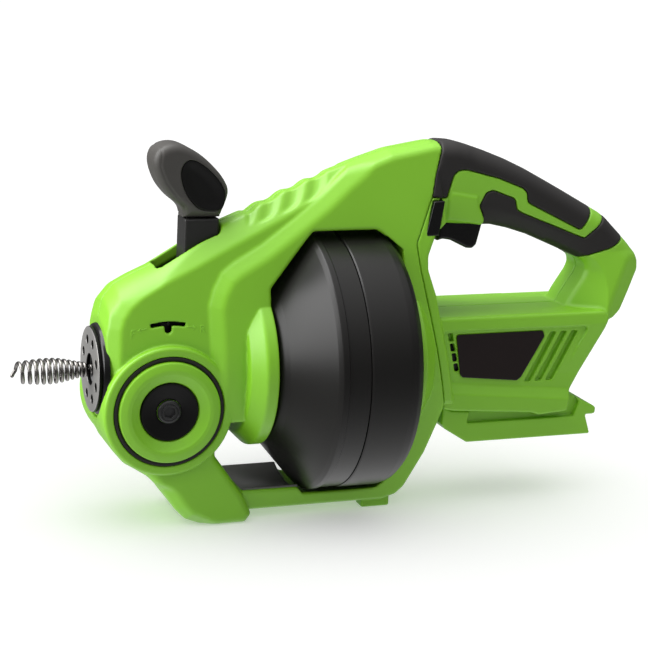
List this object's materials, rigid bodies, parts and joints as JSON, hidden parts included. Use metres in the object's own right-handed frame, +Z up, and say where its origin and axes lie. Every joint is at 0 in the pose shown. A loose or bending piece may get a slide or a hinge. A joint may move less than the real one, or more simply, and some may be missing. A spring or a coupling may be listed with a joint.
{
  "type": "cordless drain cleaning machine",
  "caption": "Hand-held cordless drain cleaner: cable drum in an open frame, loop handle with trigger, nose with feed lever, selector dial and coiled auger tip.",
  "frame": {"origin": "centre of the bounding box footprint, on the surface that the leg and the rear feet stand on", "axes": "+Z up; -X the way the nose and the cable point, parallel to the drum axis; -Y the side with the selector dial"},
  "size_m": [0.4317, 0.172, 0.2434],
  "materials": {
    "green_housing": "glossy injection-moulded yellow-green plastic with a fine texture",
    "soft_rubber": "matt soft-touch overmould",
    "badge_plastic": "glossy dark label plate, blank",
    "black_plastic": "fine-textured black plastic",
    "drum_plastic": "semi-gloss charcoal plastic",
    "spring_steel": "bright wound spring steel",
    "dark_steel": "black oxide steel",
    "bright_steel": "zinc-plated or ground steel",
    "gear_nylon": "natural nylon",
    "circuit_board": "green laminate"
  },
  "bodies": {
    "housing": {"badge_plate_left": "badge_plastic", "badge_plate_right": "badge_plastic", "base_liner": "black_plastic", "battery_rail": "green_housing", "control_board": "circuit_board", "cradle_pivot_pin": "bright_steel", "dial_seal_ring": "soft_rubber", "frame_screw_1": "dark_steel", "frame_screw_2": "dark_steel", "frame_screw_3": "dark_steel", "frame_screw_4": "dark_steel", "frame_screw_5": "dark_steel", "front_bearing": "bright_steel", "front_frame_left": "green_housing", "front_frame_right": "green_housing", "gearbox_housing": "dark_steel", "grip_lower_left": "soft_rubber", "grip_lower_right": "soft_rubber", "grip_upper_left": "soft_rubber", "grip_upper_right": "soft_rubber", "housing_screw_1": "dark_steel", "housing_screw_2": "dark_steel", "lever_pivot_pin": "bright_steel", "lever_spring": "spring_steel", "motor": "dark_steel", "nose_flange": "black_plastic", "nose_plate": "bright_steel", "rear_bearing": "bright_steel", "rear_housing_left": "green_housing", "rear_housing_right": "green_housing", "ring_gear": "bright_steel", "switch_module": "black_plastic", "terminal_block": "black_plastic", "trigger_spring": "spring_steel"},
    "drum": {"drum_front_shell": "drum_plastic", "drum_rear_shell": "drum_plastic", "cable_coil": "spring_steel", "planet_carrier": "bright_steel"},
    "cable": {"cable_run": "spring_steel", "auger_tip": "spring_steel"},
    "rotor": {"sun_gear": "bright_steel", "motor_shaft": "bright_steel"},
    "planet_1": {"planet_gear_1": "gear_nylon"},
    "planet_2": {"planet_gear_2": "gear_nylon"},
    "planet_3": {"planet_gear_3": "gear_nylon"},
    "lever": {"feed_lever": "black_plastic", "lever_grip": "black_plastic", "lever_pad_left": "soft_rubber", "lever_pad_right": "soft_rubber"},
    "upper_roller": {"pressure_roller": "bright_steel"},
    "dial": {"selector_dial": "green_housing", "dial_hub": "black_plastic", "dial_bolt": "dark_steel", "selector_pointer": "black_plastic"},
    "cradle": {"roller_cradle": "dark_steel"},
    "lower_roller_left": {"feed_roller_lower_left": "bright_steel"},
    "lower_roller_right": {"feed_roller_lower_right": "bright_steel"},
    "trigger": {"trigger": "black_plastic"},
    "direction_switch": {"direction_switch": "black_plastic"}
  },
  "joints": [
    {"name": "drum_spin", "type": "hinge", "parent": "housing", "child": "drum", "pos_m": [-0.00955, 0, 0.1], "axis": [1, 0, 0], "continuous": true},
    {"name": "cable_feed", "type": "slide", "parent": "drum", "child": "cable", "axis": [-1, 0, 0], "range_m": [0, 0.04]},
    {"name": "rotor_spin", "type": "hinge", "parent": "housing", "child": "rotor", "pos_m": [0.05645, 0, 0.1], "axis": [1, 0, 0], "continuous": true},
    {"name": "planet_1_spin", "type": "hinge", "parent": "drum", "child": "planet_1", "pos_m": [0.05645, 0.01425, 0.1], "axis": [1, 0, 0], "continuous": true},
    {"name": "planet_2_spin", "type": "hinge", "parent": "drum", "child": "planet_2", "pos_m": [0.05645, -0.00713, 0.11234], "axis": [1, 0, 0], "continuous": true},
    {"name": "planet_3_spin", "type": "hinge", "parent": "drum", "child": "planet_3", "pos_m": [0.05645, -0.00713, 0.08766], "axis": [1, 0, 0], "continuous": true},
    {"name": "lever_swing", "type": "hinge", "parent": "housing", "child": "lever", "pos_m": [-0.09555, 0, 0.146], "axis": [0, 1, 0], "range_deg": [-14, 0], "stiffness_Nm_per_rad": 0.4, "springref_deg": 11.46},
    {"name": "upper_roller_spin", "type": "hinge", "parent": "lever", "child": "upper_roller", "pos_m": [-0.12155, 0, 0.1204], "axis": [1, 0, 0], "continuous": true},
    {"name": "dial_turn", "type": "hinge", "parent": "housing", "child": "dial", "pos_m": [-0.12455, 0, 0.0793], "axis": [0, 1, 0], "range_deg": [-10.4, 10.4]},
    {"name": "cradle_skew", "type": "hinge", "parent": "housing", "child": "cradle", "pos_m": [-0.11655, 0, 0.07], "axis": [0, 0, 1], "range_deg": [-9.6, 9.6]},
    {"name": "lower_roller_left_spin", "type": "hinge", "parent": "cradle", "child": "lower_roller_left", "pos_m": [-0.11655, -0.01258, 0.09274], "axis": [1, 0, 0], "continuous": true},
    {"name": "lower_roller_right_spin", "type": "hinge", "parent": "cradle", "child": "lower_roller_right", "pos_m": [-0.11655, 0.01258, 0.09274], "axis": [1, 0, 0], "continuous": true},
    {"name": "trigger_squeeze", "type": "slide", "parent": "housing", "child": "trigger", "axis": [0, 0, 1], "range_m": [0, 0.004], "stiffness_N_per_m": 600, "springref_m": -0.002, "deforming": ["trigger_spring"]},
    {"name": "direction_select", "type": "slide", "parent": "housing", "child": "direction_switch", "axis": [0, 1, 0], "range_m": [-0.0025, 0.0025]}
  ],
  "couplings": [
    {"joint": "rotor_spin", "follows": "drum_spin", "ratio": 5},
    {"joint": "planet_1_spin", "follows": "drum_spin", "ratio": -2.6667},
    {"joint": "planet_2_spin", "follows": "drum_spin", "ratio": -2.6667},
    {"joint": "planet_3_spin", "follows": "drum_spin", "ratio": -2.6667},
    {"joint": "cradle_skew", "follows": "dial_turn", "ratio": -0.92}
  ]
}
